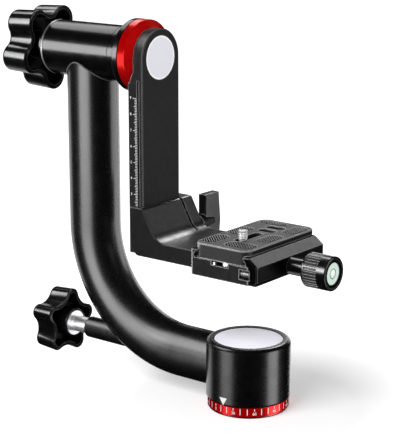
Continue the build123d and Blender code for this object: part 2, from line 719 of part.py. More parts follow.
# ---- Clamp: the channel that takes the quick-release plate ----
lip_gap = 0.05
fixed_lip_x = plate_x - dovetail_half - lip_gap
fixed_neck_x = plate_x - neck_half - lip_gap
moving_lip_x = plate_x + dovetail_half + lip_gap
moving_neck_x = plate_x + neck_half + lip_gap
lip_top_z = plate_bottom + 2.05
end_pockets = ((clamp_near_y, clamp_near_y + end_pocket_depth), (clamp_far_y - end_pocket_depth, clamp_far_y))
guide_pin_ys = [sum(span) / 2 for span in end_pockets]
pocket_z_span = (90.7, 96.5)
channel_x_span = (-4.5, 8.0)
channel_z = 95.8
catch_pin_spots = ((-3.1, clamp_near_y + 1.4), (6.0, clamp_far_y - 1.4))
catch_pin_r = 0.9

with BuildPart() as clamp_base:
    block((carriage_front_x, clamp_joint_x), (clamp_near_y, clamp_far_y), (carriage_bottom, clamp_floor))
    fixed_jaw = (
        (carriage_front_x, clamp_floor),
        (carriage_front_x, 103.3),
        (fixed_neck_x, 103.3),
        (fixed_neck_x, lip_top_z + 2),
        (fixed_lip_x, lip_top_z),
        (fixed_lip_x, clamp_floor),
    )
    prism_along_y(fixed_jaw, clamp_near_y, clamp_far_y)
    back_corners = clamp_base.edges().filter_by(Axis.Z).group_by(Axis.X)[0]
    fillet(back_corners, 2.6)
    block(channel_x_span, (clamp_near_y, clamp_far_y), (channel_z, clamp_floor), Mode.SUBTRACT)
    block(tongue_x_span, tongue_y_span, tongue_z_span, Mode.SUBTRACT)
    for spot in tongue_screw_spots:
        turned(along_z(*spot), 90, 95.2, 2.0, mode=Mode.SUBTRACT)
    turned(clamp_plane, 8.5, clamp_joint_x, clamp_stud_r + slide_gap, mode=Mode.SUBTRACT)
    for pin_y, pocket in zip(guide_pin_ys, end_pockets):
        block((16, clamp_joint_x), pocket, pocket_z_span, Mode.SUBTRACT)
        turned(along_x(pin_y, guide_pin_z), 9, 17, guide_pin_r, mode=Mode.SUBTRACT)
    for spot in catch_pin_spots:
        turned(along_z(*spot), 93, channel_z, catch_pin_r, mode=Mode.SUBTRACT)
save(clamp_base, "clamp_base")

with BuildPart() as clamp_screws:
    for spot in tongue_screw_spots:
        cap_screw(along_z(*spot), *tongue_screw_sizes)
save(clamp_screws, "clamp_screws")

with BuildPart() as clamp_guide_pins:
    for pin_y in guide_pin_ys:
        turned(along_x(pin_y, guide_pin_z), 9, 26.5, guide_pin_r)
save(clamp_guide_pins, "clamp_guide_pins")

spring_x_span = (16.05, 23.15)
spring_outer_r = 2.55
spring_inner_r = 1.85

with BuildPart() as clamp_springs:
    for pin_y in guide_pin_ys:
        turned(along_x(pin_y, guide_pin_z), *spring_x_span, spring_outer_r, spring_inner_r)
save(clamp_springs, "clamp_springs")

with BuildPart() as catch_pins:
    for spot in catch_pin_spots:
        turned(along_z(*spot), 93, 97.6, catch_pin_r)
save(catch_pins, "catch_pins")

jaw_outer_x = 28.7
jaw_inner_x = clamp_joint_x + 0.1

with BuildPart() as clamp_jaw:
    jaw_outline = (
        (jaw_inner_x, carriage_bottom),
        (jaw_inner_x, clamp_floor + 0.05),
        (moving_lip_x, clamp_floor + 0.05),
        (moving_lip_x, lip_top_z),
        (moving_neck_x, lip_top_z + 2),
        (moving_neck_x, 103.9),
        (22.8, 103.9),
        (jaw_outer_x, 99.3),
        (jaw_outer_x, 90.0),
        (27.2, carriage_bottom),
    )
    prism_along_y(jaw_outline, clamp_near_y, clamp_far_y - 0.1)
    outer_edges = clamp_jaw.edges().filter_by(Axis.Y).group_by(Axis.X)[-1]
    fillet(outer_edges, 0.6)
    near_edges = clamp_jaw.edges().filter_by_position(Axis.Y, clamp_near_y - 0.01, clamp_near_y + 0.01)
    fillet(near_edges.filter_by(lambda edge: edge.center().X > 24.5), 1.2)
    for pin_y, pocket in zip(guide_pin_ys, end_pockets):
        block((jaw_inner_x, 23.2), pocket, pocket_z_span, Mode.SUBTRACT)
        turned(along_x(pin_y, guide_pin_z), clamp_joint_x, 27, guide_pin_r + slide_gap, mode=Mode.SUBTRACT)
    turned(clamp_plane, clamp_joint_x, jaw_outer_x, clamp_stud_r + 0.4, mode=Mode.SUBTRACT)
save(clamp_jaw, "clamp_jaw")

# ---- Clamp knob with the round bubble level in its face ----
knob_neck_x = jaw_outer_x + slide_gap
knob_barrel_x = 41.5
knob_face_x = 58.8
knob_barrel_r = 10.4
knob_neck_r = 5.4
level_seat_x = 54.8
bezel_r = 8.5
vial_r = 6.9
knurl_count = 36

with BuildPart() as clamp_knob:
    turned(clamp_plane, knob_neck_x, knob_barrel_x, knob_neck_r)
    turned(clamp_plane, knob_barrel_x, knob_face_x, knob_barrel_r)
    round_edges(clamp_knob, Axis.X, knob_barrel_x, knob_barrel_r, 1.2)
    round_edges(clamp_knob, Axis.X, knob_face_x, knob_barrel_r, 0.8)
    for index in range(knurl_count):
        turn = 2 * pi * index / knurl_count
        notch_y = clamp_knob_y + (knob_barrel_r + 0.15) * cos(turn)
        notch_z = clamp_knob_z + (knob_barrel_r + 0.15) * sin(turn)
        turned(along_x(notch_y, notch_z), 43.2, 52.6, 0.6, mode=Mode.SUBTRACT)
    turned(clamp_plane, level_seat_x, knob_face_x, bezel_r, mode=Mode.SUBTRACT)
    turned(clamp_plane, knob_neck_x, 50, clamp_stud_r, mode=Mode.SUBTRACT)
save(clamp_knob, "clamp_knob")

with BuildPart() as clamp_stud:
    turned(clamp_plane, 9, 50, clamp_stud_r)
save(clamp_stud, "clamp_stud")

with BuildPart() as level_bezel:
    turned(clamp_plane, level_seat_x, knob_face_x - 0.4, bezel_r, vial_r)
save(level_bezel, "level_bezel")

with BuildPart() as bubble_level:
    turned(clamp_plane, level_seat_x, knob_face_x - 0.9, vial_r)
    round_edges(bubble_level, Axis.X, knob_face_x - 0.9, vial_r, 0.5)
save(bubble_level, "bubble_level")

# ---- Quick-release plate ----
head_room = 103.0
slot_half = screw_r + 0.075
slot_span = (-15.0, 10.0)
head_slot_span = (-16.9, 11.9)
cross_slots = ((16.25, 6.7, 12.6), (25.4, 6.7, 13.4))
stop_screw_spots = ((4.7, -29.0), (2 * plate_x - 4.7, 2 * plate_y + 29.0))
pads = (
    ((-17.6, -7.2), (-27.0, -7.4), 4.5),
    ((-1.0, 19.0), (-26.8, -15.2), 4.5),
    ((8.8, 18.9), (-8.0, 11.2), 4.5),
    ((-17.2, -7.0), (-2.4, 16.8), 4.5),
    ((9.6, 20.0), (17.5, 36.5), 4.5),
    ((-16.2, 3.4), (29.9, 37.6), 3.6),
)


def pad_faces(amount, mode=Mode.ADD):
    """The six grip pads, which stand round the slots."""
    with BuildSketch(Plane.XY.offset(plate_top - pad_depth)) as faces:
        for x_span, y_span, corner_r in pads:
            with Locations((sum(x_span) / 2, sum(y_span) / 2)):
                RectangleRounded(x_span[1] - x_span[0], y_span[1] - y_span[0], corner_r)
    extrude(faces.sketch, amount=amount, mode=mode)


def lengthwise_slot(z_start, z_end, y_span, half_width):
    with BuildSketch(along_z(plate_x, sum(y_span) / 2).offset(z_start)) as slot:
        SlotOverall(y_span[1] - y_span[0], 2 * half_width, rotation=90)
    extrude(slot.sketch, amount=z_end - z_start, mode=Mode.SUBTRACT)


with BuildPart() as quick_release_plate:
    section = (
        (plate_x - dovetail_half, plate_bottom),
        (plate_x - dovetail_half, plate_bottom + 2),
        (plate_x - neck_half, plate_bottom + 4),
        (plate_x - neck_half, slab_bottom),
        (plate_x - plate_width / 2, slab_bottom),
        (plate_x - plate_width / 2, plate_top),
        (plate_x + plate_width / 2, plate_top),
        (plate_x + plate_width / 2, slab_bottom),
        (plate_x + neck_half, slab_bottom),
        (plate_x + neck_half, plate_bottom + 4),
        (plate_x + dovetail_half, plate_bottom + 2),
        (plate_x + dovetail_half, plate_bottom),
    )
    prism_along_y(section, plate_y - plate_length / 2, plate_y + plate_length / 2)
    with BuildSketch(along_z(plate_x, plate_y).offset(plate_bottom)) as plan:
        RectangleRounded(plate_width, plate_length, plate_corner_r)
    extrude(plan.sketch, amount=plate_top - plate_bottom, mode=Mode.INTERSECT)
    rim = quick_release_plate.edges().filter_by_position(Axis.Z, plate_top - 0.01, plate_top + 0.01)
    chamfer(rim, 0.5)
    lengthwise_slot(plate_bottom, head_room, head_slot_span, screw_head_r + 0.1)
    lengthwise_slot(head_room, plate_top, slot_span, slot_half)
    for slot_y, slot_width, slot_length in cross_slots:
        with BuildSketch(along_z(plate_x, slot_y).offset(plate_bottom)) as slot:
            SlotOverall(slot_length, slot_width)
        extrude(slot.sketch, amount=plate_top - plate_bottom, mode=Mode.SUBTRACT)
    pad_faces(pad_depth, Mode.SUBTRACT)
    for spot in stop_screw_spots:
        turned(along_z(*spot), plate_bottom, 103, 1.25, mode=Mode.SUBTRACT)
save(quick_release_plate, "quick_release_plate")

with BuildPart() as rubber_pads:
    pad_faces(pad_depth + 0.3)
save(rubber_pads, "rubber_pads")

with BuildPart() as stop_screws:
    for spot in stop_screw_spots:
        cap_screw(along_z(*spot), 96.3, 103, 2.4, plate_bottom - 96.3, 1.25)
save(stop_screws, "stop_screws")

with BuildPart() as screw_washer:
    washer_bottom = head_room - 0.9
    turned(along_z(plate_x, screw_y), washer_bottom, head_room - slide_gap, screw_head_r, screw_neck_r + slide_gap)
save(screw_washer, "screw_washer")

with BuildPart() as camera_screw:
    head_top = head_room - 0.9 - slide_gap
    turned(along_z(plate_x, screw_y), 99.2, head_top, screw_head_r)
    turned(along_z(plate_x, screw_y), head_top, plate_top + 0.1, screw_neck_r)
    turned(along_z(plate_x, screw_y), plate_top + 0.1, screw_top, screw_r)
    round_edges(camera_screw, Axis.Z, screw_top, screw_r, 0.6)
    block((plate_x - 0.7, plate_x + 0.7), (screw_y - 6, screw_y + 6), (99.2, 100.4), Mode.SUBTRACT)
save(camera_screw, "camera_screw")
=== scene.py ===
import json
import math

import bmesh
import bpy
from mathutils import Matrix, Vector


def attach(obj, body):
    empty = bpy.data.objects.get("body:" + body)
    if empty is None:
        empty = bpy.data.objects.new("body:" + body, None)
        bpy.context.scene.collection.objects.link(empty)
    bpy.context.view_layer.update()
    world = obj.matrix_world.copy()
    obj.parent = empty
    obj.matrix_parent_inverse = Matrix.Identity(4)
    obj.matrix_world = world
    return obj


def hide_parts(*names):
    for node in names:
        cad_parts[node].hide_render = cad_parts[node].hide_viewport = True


MM = 0.001

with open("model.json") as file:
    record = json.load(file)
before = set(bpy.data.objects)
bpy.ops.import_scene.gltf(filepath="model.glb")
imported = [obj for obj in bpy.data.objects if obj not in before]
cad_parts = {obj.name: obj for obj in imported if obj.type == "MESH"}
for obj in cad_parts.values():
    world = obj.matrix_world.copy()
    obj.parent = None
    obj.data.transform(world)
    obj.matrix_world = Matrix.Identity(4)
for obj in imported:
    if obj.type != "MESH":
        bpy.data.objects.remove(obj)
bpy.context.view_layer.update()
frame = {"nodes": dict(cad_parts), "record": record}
record = frame["record"]
nodes = frame["nodes"]

# ---- The object's own sizes, in millimetres, as the CAD has them ----
TILT_Z = 209.1
HOUSING_R = 26.0
RING_R = 25.1
CAP_R = 21.1
DISC_R = 13.5
ARM_X = -123.9
ARM_R = 16.4
BARREL_R = 17.5
RAIL_SIDE_Y = -17.85
PLATE_TOP = 107.6
SCREW_X = 1.45
SCREW_Y = -9.0
SCREW_R = 3.175
KNOB_Y = 3.0
KNOB_Z = 93.4
LEVEL_FACE_X = 57.9
SCALE_ZERO_Z = 95.6
SCALE_LENGTH = 90
SCALE_EDGE_X = -72.75
SCALE_DIGIT_X = -77.5
PRINT_ROOT = -0.1
PRINT_RISE = 0.02


# ---- Camera ----
def make_camera():
    azimuth = math.radians(38.0)
    elevation = math.radians(14.03)
    focal_px = 1503.0
    depth = 928.3
    half_width_px = 200.0
    half_height_px = 218.5
    origin_px = (248.105, 404.247)
    sensor_mm = 36.0
    forward = Vector((
        -math.sin(azimuth) * math.cos(elevation),
        math.cos(azimuth) * math.cos(elevation),
        -math.sin(elevation),
    ))
    right = Vector((math.cos(azimuth), math.sin(azimuth), 0.0))
    up = right.cross(forward)
    across = (origin_px[0] - half_width_px) / focal_px * depth
    down = (origin_px[1] - half_height_px) / focal_px * depth
    place = -(right * across - up * down + forward * depth) * MM
    data = bpy.data.cameras.new("camera")
    data.sensor_width = sensor_mm
    data.lens = focal_px / (2 * half_height_px) * sensor_mm
    data.clip_start = 0.05
    data.clip_end = 50.0
    camera = bpy.data.objects.new("camera", data)
    bpy.context.scene.collection.objects.link(camera)
    turn = Matrix((right, up, -forward)).transposed().to_4x4()
    camera.matrix_world = Matrix.Translation(place) @ turn
    bpy.context.scene.camera = camera


# ---- Materials ----
class Finish:
    """A Principled material that is built up with procedural nodes in the object's own space."""

    def __init__(self, name, colour, roughness, metallic=0.0, specular=0.5):
        self.material = bpy.data.materials.new(name)
        self.material.use_nodes = True
        self.tree = self.material.node_tree
        self.shader = self.tree.nodes["Principled BSDF"]
        self.colour = colour
        self.roughness = roughness
        self.set("Base Color", (*colour, 1.0))
        self.set("Roughness", roughness)
        self.set("Metallic", metallic)
        self.set("Specular IOR Level", specular)
        self.place = self.tree.nodes.new("ShaderNodeTexCoord").outputs["Object"]
        self.normal = None

    def set(self, socket, value):
        self.shader.inputs[socket].default_value = value
        return self

    def node(self, kind, **sockets):
        made = self.tree.nodes.new(kind)
        for name, value in sockets.items():
            made.inputs[name.replace("_", " ")].default_value = value
        return made

    def link(self, source, target):
        self.tree.links.new(source, target)

    def stretched(self, scale):
        """The object's space, stretched, for grain that runs one way."""
        mapping = self.node("ShaderNodeMapping", Scale=scale)
        self.link(self.place, mapping.inputs["Vector"])
        return mapping.outputs["Vector"]

    def noise(self, size, detail=2.0, space=None):
        """Noise whose blobs are about size millimetres across."""
        made = self.node("ShaderNodeTexNoise", Scale=1000.0 / size, Detail=detail)
        self.link(space or self.place, made.inputs["Vector"])
        return made.outputs["Fac"]

    def ranged(self, value, low, high, start=0.35, end=0.65):
        made = self.tree.nodes.new("ShaderNodeMapRange")
        made.inputs["From Min"].default_value = start
        made.inputs["From Max"].default_value = end
        made.inputs["To Min"].default_value = low
        made.inputs["To Max"].default_value = high
        self.link(value, made.inputs["Value"])
        return made.outputs["Result"]

    def mixed(self, share, first, second):
        """A colour between two others, each a colour or a socket."""
        made = self.tree.nodes.new("ShaderNodeMix")
        made.data_type = "RGBA"
        self.link(share, made.inputs[0])
        for value, socket in ((first, made.inputs[6]), (second, made.inputs[7])):
            if isinstance(value, bpy.types.NodeSocket):
                self.link(value, socket)
            else:
                socket.default_value = (*value, 1.0)
        return made.outputs[2]

    def mottle(self, size, change, detail=3.0):
        """Lets the colour drift a little, lighter and darker."""
        darker = tuple(channel * (1.0 - change) for channel in self.colour)
        lighter = tuple(min(1.0, channel * (1.0 + change)) for channel in self.colour)
        share = self.ranged(self.noise(size, detail), 0.0, 1.0)
        self.link(self.mixed(share, darker, lighter), self.shader.inputs["Base Color"])
        return self

    def smudge(self, size, change, detail=3.0):
        """Lets the roughness drift, as handling and coating leave it."""
        low = max(0.02, self.roughness - change)
        value = self.ranged(self.noise(size, detail), low, self.roughness + change)
        self.link(value, self.shader.inputs["Roughness"])
        return self

    def grain(self, size, depth, detail=2.0, scale=None):
        """Bumps of about size millimetres across and depth millimetres deep."""
        space = self.stretched(scale) if scale else None
        bump = self.tree.nodes.new("ShaderNodeBump")
        bump.inputs["Strength"].default_value = 1.0
        bump.inputs["Distance"].default_value = depth * MM
        self.link(self.noise(size, detail, space), bump.inputs["Height"])
        if self.normal:
            self.link(self.normal, bump.inputs["Normal"])
        self.normal = bump.outputs["Normal"]
        self.link(self.normal, self.shader.inputs["Normal"])
        return self

    def painted_edge_highlights(self, width, colour):
        """Paler edges: a painted highlight, standing in for the light that the machined chamfers catch.
        """
        bevel = self.tree.nodes.new("ShaderNodeBevel")
        bevel.samples = 4
        bevel.inputs["Radius"].default_value = width * MM
        flat = self.tree.nodes.new("ShaderNodeNewGeometry")
        match = self.tree.nodes.new("ShaderNodeVectorMath")
        match.operation = "DOT_PRODUCT"
        self.link(bevel.outputs["Normal"], match.inputs[0])
        self.link(flat.outputs["Normal"], match.inputs[1])
        share = self.ranged(match.outputs["Value"], 1.0, 0.0, 0.86, 0.99)
        base = self.shader.inputs["Base Color"]
        self.link(self.mixed(share, base.links[0].from_socket, colour), base)
        return self

    def painted_shade_below(self, low, high, colour):
        """Painted shade: dark and dull up to the height low, where the gaps between the ribs lie in
        shade, and as it is above the height high.
        """
        apart = self.tree.nodes.new("ShaderNodeSeparateXYZ")
        self.link(self.place, apart.inputs[0])
        share = self.ranged(apart.outputs["Z"], 0.0, 1.0, low * MM, high * MM)
        base = self.shader.inputs["Base Color"]
        self.link(self.mixed(share, colour, base.links[0].from_socket), base)
        level = self.shader.inputs["Specular IOR Level"]
        self.link(self.ranged(share, 0.0, level.default_value, 0.0, 1.0), level)
        return self

    def radius_from(self, centre, axis):
        """The distance in metres from a line through centre, along X or Z."""
        shift = self.tree.nodes.new("ShaderNodeVectorMath")
        shift.operation = "SUBTRACT"
        self.link(self.place, shift.inputs[0])
        shift.inputs[1].default_value = [value * MM for value in centre]
        flat = self.tree.nodes.new("ShaderNodeVectorMath")
        flat.operation = "MULTIPLY"
        self.link(shift.outputs[0], flat.inputs[0])
        flat.inputs[1].default_value = (0, 1, 1) if axis == "X" else (1, 1, 0)
        length = self.tree.nodes.new("ShaderNodeVectorMath")
        length.operation = "LENGTH"
        self.link(flat.outputs[0], length.inputs[0])
        return length.outputs["Value"]

    def rings(self, radius, pitch, depth):
        """Fine turning marks round an axis."""
        wave = self.tree.nodes.new("ShaderNodeMath")
        wave.operation = "SINE"
        turns = self.tree.nodes.new("ShaderNodeMath")
        turns.operation = "MULTIPLY"
        turns.inputs[1].default_value = 2 * math.pi / (pitch * MM)
        self.link(radius, turns.inputs[0])
        self.link(turns.outputs[0], wave.inputs[0])
        bump = self.tree.nodes.new("ShaderNodeBump")
        bump.inputs["Distance"].default_value = depth * MM
        self.link(wave.outputs[0], bump.inputs["Height"])
        self.normal = bump.outputs["Normal"]
        self.link(self.normal, self.shader.inputs["Normal"])
        return self


def disc_finish(name, centre, axis, outer_r):
    """Pale anodised disc, white in a narrow band at its edge."""
    made = Finish(name, (0.72, 0.715, 0.775), 0.42, specular=0.4)
    radius = made.radius_from(centre, axis)
    made.rings(radius, 0.35, 0.0006)
    speck = made.ranged(made.noise(0.5, 2.0), 0.0, 1.0)
    inner = made.mixed(speck, (0.70, 0.695, 0.755), (0.74, 0.735, 0.79))
    border = made.ranged(radius, 0.0, 1.0, (outer_r - 1.05) * MM, (outer_r - 0.85) * MM)
    made.link(made.mixed(border, inner, (0.95, 0.95, 0.95)), made.shader.inputs["Base Color"])
    return made.material


def turned_steel(name, colour, roughness):
    made = Finish(name, colour, roughness, metallic=1.0)
    made.mottle(3.0, 0.04).smudge(1.5, 0.03)
    return made.grain(0.5, 0.002).material


def make_finishes():
    # The paler edge colours given below are painted highlights along the edges.
    arm = Finish("arm_coat", (0.0025, 0.0025, 0.003), 0.27, specular=0.9)
    arm.mottle(6.0, 0.25).smudge(9.0, 0.015).grain(0.9, 0.0003)
    barrel = Finish("barrel_coat", (0.002, 0.002, 0.0025), 0.20, specular=0.9)
    barrel.mottle(6.0, 0.25).smudge(9.0, 0.02).grain(0.9, 0.0006)
    housing = Finish("housing_coat", (0.002, 0.002, 0.0025), 0.27, specular=0.7)
    housing.mottle(5.0, 0.25).smudge(8.0, 0.02).grain(0.7, 0.0006)
    rail = Finish("rail_anodised", (0.018, 0.018, 0.019), 0.40, specular=0.45)
    rail.mottle(4.0, 0.15).smudge(5.0, 0.03).grain(0.35, 0.0010, scale=(1, 1, 0.12))
    rail.painted_edge_highlights(0.9, (0.26, 0.26, 0.26))
    cast = Finish("cast_anodised", (0.015, 0.015, 0.016), 0.33, specular=0.55)
    cast.mottle(2.5, 0.15).smudge(3.0, 0.04).grain(0.45, 0.005, 3.0)
    cast.painted_edge_highlights(0.9, (0.34, 0.34, 0.34))
    clamp = Finish("clamp_anodised", (0.014, 0.014, 0.015), 0.33, specular=0.55)
    clamp.mottle(2.5, 0.15).smudge(3.0, 0.04).grain(0.45, 0.005, 3.0)
    clamp.painted_edge_highlights(1.0, (0.45, 0.45, 0.45))
    # Painted shade: the jaw is the same black anodised metal as the clamp base, given a darker colour
    # so that its faces stay near black as in shade.
    jaw = Finish("jaw_anodised_painted_shade", (0.002, 0.002, 0.0025), 0.32, specular=0.55)
    jaw.mottle(2.5, 0.15).smudge(3.0, 0.04).grain(0.45, 0.004, 3.0)
    jaw.painted_edge_highlights(1.0, (0.45, 0.45, 0.45))
    wing = Finish("wing_anodised", (0.004, 0.004, 0.0045), 0.33, specular=0.8)
    wing.mottle(2.5, 0.15).smudge(3.0, 0.04).grain(0.45, 0.004, 3.0)
    wing.painted_edge_highlights(0.9, (0.50, 0.50, 0.50))
    red = Finish("red_gloss", (0.64, 0.001, 0.0015), 0.24, metallic=0.60, specular=0.3)
    red.set("Coat Weight", 0.12).set("Coat Roughness", 0.10)
    red.mottle(6.0, 0.04).smudge(6.0, 0.02).grain(1.2, 0.0004)
    knob = Finish("knob_gloss", (0.003, 0.003, 0.0035), 0.20, specular=0.7)
    knob.mottle(5.0, 0.3).smudge(7.0, 0.02).grain(2.5, 0.002)
    knob.painted_edge_highlights(0.7, (0.13, 0.13, 0.13))
    plate = Finish("plate_blasted", (0.020, 0.020, 0.021), 0.44, specular=0.5)
    plate.mottle(1.2, 0.2).smudge(2.0, 0.04).grain(0.35, 0.005, 3.0)
    plate.painted_edge_highlights(1.0, (0.80, 0.80, 0.80))
    pad = Finish("ribbed_rubber", (0.14, 0.14, 0.14), 0.42, specular=0.7)
    pad.mottle(1.0, 0.3).smudge(1.5, 0.05).grain(0.3, 0.004)
    # Painted shade in the gaps between the ribs: near black and without gloss up to just under the
    # ribs' tops.
    pad.painted_shade_below(PLATE_TOP + 0.16, PLATE_TOP + 0.26, (0.001, 0.001, 0.001))
    # Painted highlight: the bead is a paler grey than the black coat, so that the joint shows as a
    # light line.
    weld = Finish("weld_bead_painted_highlight", (0.10, 0.10, 0.10), 0.32, specular=0.8)
    weld.mottle(1.2, 0.3).smudge(1.5, 0.05).grain(0.8, 0.02)
    bezel = Finish("bezel_matt", (0.006, 0.006, 0.006), 0.45, specular=0.4)
    bezel.mottle(1.5, 0.25).smudge(2.0, 0.05).grain(0.4, 0.004)
    nylon = Finish("natural_nylon", (0.80, 0.79, 0.74), 0.5, specular=0.4)
    nylon.mottle(1.5, 0.06).smudge(2.0, 0.05).grain(0.6, 0.004)
    brass = Finish("turned_brass", (0.72, 0.52, 0.22), 0.25, metallic=1.0)
    brass.mottle(2.0, 0.08).smudge(2.0, 0.05).grain(0.5, 0.002)
    level = Finish("level_liquid", (0.72, 0.88, 0.78), 0.08, specular=0.6)
    level.mottle(2.0, 0.05).smudge(2.0, 0.02)
    level.set("Coat Weight", 1.0).set("Coat Roughness", 0.03)
    return {
        "black_arm": arm.material,
        "black_barrel": barrel.material,
        "black_housing": housing.material,
        "black_rail": rail.material,
        "black_cast": cast.material,
        "clamp": clamp.material,
        "jaw": jaw.material,
        "wing": wing.material,
        "weld": weld.material,
        "red_anodised": red.material,
        "silver_disc": disc_finish("cap_disc", (0, 0, 0), "Z", CAP_R),
        "steel": turned_steel("turned_steel", (0.78, 0.78, 0.79), 0.38),
        "bright_steel": turned_steel("chrome_steel", (0.92, 0.92, 0.93), 0.38),
        "satin_ring": turned_steel("satin_ring_steel", (0.80, 0.80, 0.81), 0.38),
        "spring": turned_steel("spring_steel", (0.30, 0.30, 0.31), 0.35),
        "brass": brass.material,
        "black_knob": knob.material,
        "grey_plate": plate.material,
        "pad_rubber": pad.material,
        "bezel": bezel.material,
        "level_glass": level.material,
        "shoe_plastic": nylon.material,
    }


finishes = make_finishes()
for row in record["subparts"]:
    for slot in nodes[row["node"]].material_slots:
        slot.material = finishes[row["material_slot"]]


def wear(node, material):
    for slot in nodes[node].material_slots:
        slot.material = material


for node in ("tilt_barrel", "bearing_cap", "tilt_flange"):
    wear(node, finishes["black_barrel"])
wear("barrel_end_ring", finishes["satin_ring"])
wear("tilt_lock_washer", finishes["black_barrel"])
wear("clamp_knob", finishes["black_knob"])
wear("clamp_base", finishes["clamp"])
wear("clamp_jaw", finishes["jaw"])
wear("wing_knob", finishes["wing"])
wear("rail_cap_disc", disc_finish("rail_disc", (0, 0, TILT_Z), "X", DISC_R))

print_white = Finish("print_white", (0.88, 0.88, 0.88), 0.5, specular=0.4)
print_white.mottle(0.6, 0.05).smudge(1.0, 0.05).grain(0.3, 0.002)
print_black = Finish("print_black", (0.02, 0.02, 0.02), 0.4, specular=0.4)
print_black.mottle(0.6, 0.2).smudge(1.0, 0.05).grain(0.3, 0.002)


# ---- Building pieces ----
pieces = []


def new_object(name, shape, material):
    """Turns a bmesh in metres into an object of the scene."""
    mesh = bpy.data.meshes.new(name)
    shape.to_mesh(mesh)
    shape.free()
    mesh.materials.append(material)
    made = bpy.data.objects.new(name, mesh)
    bpy.context.scene.collection.objects.link(made)
    return made


def new_piece(name, shape, body, material, smooth=False):
    """Turns a bmesh in millimetres into a piece that rides on a body."""
    shape.transform(Matrix.Scale(MM, 4))
    bmesh.ops.recalc_face_normals(shape, faces=shape.faces)
    piece = new_object(name, shape, material)
    for polygon in piece.data.polygons:
        polygon.use_smooth = smooth
    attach(piece, body)
    pieces.append(piece)
    return piece


def add_prism(shape, outline, low, high, place):
    """An outline of (u, v) points between two depths, put in space by place(u, v, depth)."""
    ring_low = [shape.verts.new(place(u, v, low)) for u, v in outline]
    ring_high = [shape.verts.new(place(u, v, high)) for u, v in outline]
    count = len(outline)
    shape.faces.new(ring_high)
    shape.faces.new(list(reversed(ring_low)))
    for index in range(count):
        after = (index + 1) % count
        shape.faces.new((ring_low[index], ring_low[after], ring_high[after], ring_high[index]))


def add_text(shape, words, size, low, high, place):
    """Plain digits, centred on (0, 0) of place(u, v, depth)."""
    curve = bpy.data.curves.new("digits", "FONT")
    curve.body = words
    curve.size = size
    curve.align_x = "CENTER"
    curve.align_y = "CENTER"
    curve.resolution_u = 4
    curve.extrude = 0.5
    writer = bpy.data.objects.new("digits", curve)
    bpy.context.scene.collection.objects.link(writer)
    bpy.context.view_layer.update()
    ready = writer.evaluated_get(bpy.context.evaluated_depsgraph_get())
    mesh = bpy.data.meshes.new_from_object(ready)
    new = [shape.verts.new(place(v.co.x, v.co.y, high if v.co.z > 0 else low)) for v in mesh.vertices]
    for polygon in mesh.polygons:
        corners = [new[index] for index in polygon.vertices]
        if len(set(corners)) == len(corners):
            shape.faces.new(corners)
    bpy.data.objects.remove(writer)
    bpy.data.meshes.remove(mesh)
    bpy.data.curves.remove(curve)


def add_tube(shape, path, radius, sides=10, closed=False):
    """A round bar along a path of points."""
    rings = []
    count = len(path)
    for index, point in enumerate(path):
        before = path[index - 1] if index or closed else point
        after = path[(index + 1) % count] if index < count - 1 or closed else point
        along = (after - before).normalized()
        side = along.orthogonal().normalized()
        if rings:
            side = (previous_side - along * previous_side.dot(along)).normalized()
        previous_side = side
        other = along.cross(side)
        ring = []
        for step in range(sides):
            turn = 2 * math.pi * step / sides
            outward = side * math.cos(turn) + other * math.sin(turn)
            ring.append(shape.verts.new(point + outward * radius))
        rings.append(ring)
    spans = count if closed else count - 1
    for index in range(spans):
        first = rings[index]
        second = rings[(index + 1) % count]
        for step in range(sides):
            following = (step + 1) % sides
            shape.faces.new((first[step], first[following], second[following], second[step]))
    if not closed:
        shape.faces.new(list(reversed(rings[0])))
        shape.faces.new(rings[-1])


# ---- Scale on the red degree ring, and the pointer over it ----
def on_cylinder(radius, angle, height):
    def place(across, up, depth):
        turn = math.radians(angle) + across / radius
        reach = radius + depth
        return Vector((reach * math.cos(turn), reach * math.sin(turn), height + up))
    return place


def rectangle(width, height):
    u = width / 2
    v = height / 2
    return ((-u, -v), (u, -v), (u, v), (-u, v))


def make_degree_scale():
    """A tall mark every 10 degrees, and a short one over a number every 30 degrees."""
    shape = bmesh.new()
    first_angle = -105
    mark_width = 0.42
    root = -0.05
    for step in range(36):
        angle = first_angle + 10 * step
        if step % 3:
            add_prism(shape, rectangle(mark_width, 3.9), root, 0.03, on_cylinder(RING_R, angle, 4.35))
        else:
            add_prism(shape, rectangle(mark_width, 1.5), root, 0.03, on_cylinder(RING_R, angle, 5.6))
            add_text(shape, str(step * 10), 2.5, root, 0.04, on_cylinder(RING_R, angle, 3.2))
    new_piece("degree_scale", shape, "base", print_white.material)


def make_pointer():
    """A white triangle in narrow strips, so that it follows the round housing."""
    shape = bmesh.new()
    half_width = 2.75
    half_height = 2.3
    strips = 14
    middle_angle = -89.5
    middle_height = 9.75
    place = on_cylinder(HOUSING_R, middle_angle, middle_height)
    for strip in range(strips):
        left = -half_width + 2 * half_width * strip / strips
        right = left + 2 * half_width / strips
        low_left = -half_height + 2 * half_height * abs(left) / half_width
        low_right = -half_height + 2 * half_height * abs(right) / half_width
        outline = [(left, low_left), (right, low_right), (right, half_height), (left, half_height)]
        if strip == 0:
            outline.pop()
        if strip == strips - 1:
            outline.pop(1)
        add_prism(shape, outline, PRINT_ROOT, 0.03, place)
    new_piece("pan_pointer", shape, "pan_head", print_white.material)


